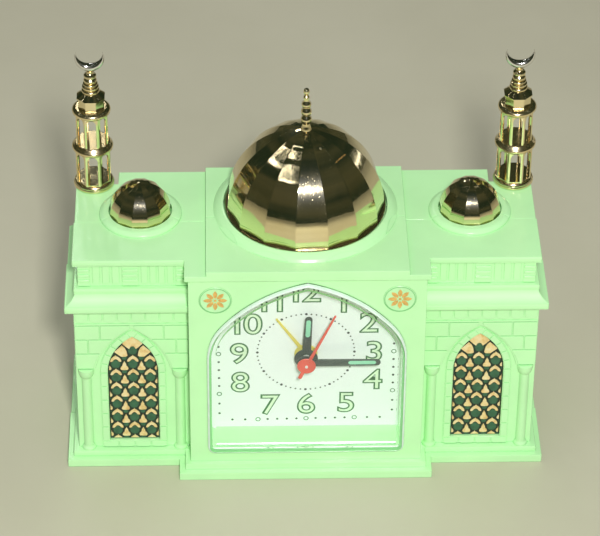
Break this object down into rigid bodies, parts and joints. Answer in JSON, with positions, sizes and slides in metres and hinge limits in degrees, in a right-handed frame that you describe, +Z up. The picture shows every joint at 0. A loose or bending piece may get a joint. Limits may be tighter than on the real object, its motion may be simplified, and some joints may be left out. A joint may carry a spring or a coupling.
{
  "type": "alarm clock",
  "caption": "Mosque-shaped quartz alarm clock with an arched dial window, a large gold dome that presses down to stop the alarm, two small domes and two minarets.",
  "frame": {"origin": "on the ground, in the middle of the width and of the depth", "axes": "+X to the right seen from the front, +Y towards the back, +Z up; the dial faces -Y"},
  "size_m": [0.2076, 0.087, 0.1777],
  "materials": {
    "mint_plastic": "gloss",
    "clear_acrylic": "gloss",
    "gold_plated": "mirror-plated",
    "silver_plated": "mirror-plated",
    "green_enamel": "gloss",
    "dial_card": "matt",
    "medal_face": "satin",
    "steel": "satin",
    "dark_hand": "satin",
    "red_hand": "satin",
    "yellow_hand": "satin",
    "black_plastic": "matt",
    "white_plastic": "satin",
    "copper": "satin",
    "circuit_card": "satin",
    "component_black": "matt",
    "cell_jacket": "gloss",
    "speaker_paper": "matt",
    "rubber": "matt"
  },
  "bodies": {
    "case": {"alarm_switch_body": "black_plastic", "battery_cell_1": "cell_jacket", "battery_cell_2": "cell_jacket", "battery_contacts": "steel", "board_screws": "steel", "case_screws": "steel", "circuit_block": "circuit_card", "coil": "copper", "crescent_left": "silver_plated", "crescent_right": "silver_plated", "crystal": "clear_acrylic", "dial_plate": "dial_card", "dial_screws": "steel", "front_case": "mint_plastic", "medallions": "medal_face", "minaret_left": "gold_plated", "minaret_right": "gold_plated", "movement_back": "black_plastic", "movement_front": "black_plastic", "rear_case": "mint_plastic", "rubber_feet": "rubber", "small_dome_left": "gold_plated", "small_dome_right": "gold_plated", "sound_board": "circuit_card", "sound_components": "component_black", "speaker": "steel", "speaker_cone": "speaker_paper", "stator": "steel", "stop_board": "circuit_card", "stop_spring": "steel", "stop_switch": "black_plastic", "window_grille_left": "gold_plated", "window_grille_right": "gold_plated", "window_panel_left": "green_enamel", "window_panel_right": "green_enamel"},
    "stop_button": {"main_dome": "gold_plated", "dome_finial": "gold_plated", "stop_clip": "steel"},
    "second_hand": {"second_hand": "red_hand", "second_wheel": "white_plastic"},
    "third_wheel": {"third_wheel": "white_plastic"},
    "centre_wheel": {"centre_wheel": "white_plastic"},
    "step_wheel": {"step_wheel": "white_plastic"},
    "rotor": {"rotor": "white_plastic"},
    "minute_hand": {"minute_hand": "dark_hand", "cannon_pinion": "white_plastic"},
    "motion_wheel": {"motion_wheel": "white_plastic"},
    "hour_hand": {"hour_hand": "dark_hand", "hour_wheel": "white_plastic"},
    "time_knob": {"time_knob": "black_plastic", "time_stem": "black_plastic", "setting_pinion": "white_plastic"},
    "alarm_hand": {"alarm_hand": "yellow_hand", "alarm_wheel": "white_plastic"},
    "alarm_knob": {"alarm_knob": "black_plastic", "alarm_stem": "black_plastic", "alarm_pinion": "white_plastic"},
    "alarm_switch": {"alarm_switch": "black_plastic"},
    "battery_door": {"battery_door": "mint_plastic"}
  },
  "joints": [
    {"name": "stop_button", "type": "slide", "parent": "case", "child": "stop_button", "axis": [0, 0, -1], "range_m": [0, 0.0025], "stiffness_N_per_m": 700, "springref_m": -0.0015, "deforming": ["stop_spring"]},
    {"name": "second_hand", "type": "hinge", "parent": "case", "child": "second_hand", "pos_m": [0, 0, 0.0561], "axis": [0, 1, 0], "continuous": true},
    {"name": "third_wheel", "type": "hinge", "parent": "case", "child": "third_wheel", "pos_m": [0.00938, 0, 0.06397], "axis": [0, 1, 0], "continuous": true},
    {"name": "centre_wheel", "type": "hinge", "parent": "case", "child": "centre_wheel", "pos_m": [0, 0, 0.0561], "axis": [0, 1, 0], "continuous": true},
    {"name": "step_wheel", "type": "hinge", "parent": "case", "child": "step_wheel", "pos_m": [-0.0081, 0, 0.06575], "axis": [0, 1, 0], "continuous": true},
    {"name": "rotor", "type": "hinge", "parent": "case", "child": "rotor", "pos_m": [-0.00643, 0, 0.07521], "axis": [0, 1, 0], "continuous": true},
    {"name": "minute_hand", "type": "hinge", "parent": "case", "child": "minute_hand", "pos_m": [0, 0, 0.0561], "axis": [0, 1, 0], "continuous": true},
    {"name": "motion_wheel", "type": "hinge", "parent": "case", "child": "motion_wheel", "pos_m": [-0.00208, 0, 0.04428], "axis": [0, 1, 0], "continuous": true},
    {"name": "hour_hand", "type": "hinge", "parent": "case", "child": "hour_hand", "pos_m": [0, 0, 0.0561], "axis": [0, 1, 0], "continuous": true},
    {"name": "time_knob", "type": "hinge", "parent": "case", "child": "time_knob", "pos_m": [-0.01378, 0, 0.05103], "axis": [0, 1, 0], "continuous": true},
    {"name": "alarm_hand", "type": "hinge", "parent": "case", "child": "alarm_hand", "pos_m": [0, 0, 0.0561], "axis": [0, 1, 0], "continuous": true},
    {"name": "alarm_knob", "type": "hinge", "parent": "case", "child": "alarm_knob", "pos_m": [0.01407, 0, 0.0509], "axis": [0, 1, 0], "continuous": true},
    {"name": "alarm_switch", "type": "slide", "parent": "case", "child": "alarm_switch", "axis": [1, 0, 0], "range_m": [0, 0.004]},
    {"name": "battery_door", "type": "hinge", "parent": "case", "child": "battery_door", "pos_m": [-0.05, 0.0332, 0.0226], "axis": [-1, 0, 0], "range_deg": [0, 95]}
  ],
  "couplings": [
    {"joint": "third_wheel", "follows": "second_hand", "ratio": -0.13333},
    {"joint": "centre_wheel", "follows": "second_hand", "ratio": 0.016667},
    {"joint": "step_wheel", "follows": "second_hand", "ratio": -6},
    {"joint": "rotor", "follows": "second_hand", "ratio": 30},
    {"joint": "motion_wheel", "follows": "minute_hand", "ratio": -0.33333},
    {"joint": "hour_hand", "follows": "minute_hand", "ratio": 0.083333},
    {"joint": "time_knob", "follows": "minute_hand", "ratio": 0.66667},
    {"joint": "alarm_knob", "follows": "alarm_hand", "ratio": -2}
  ]
}
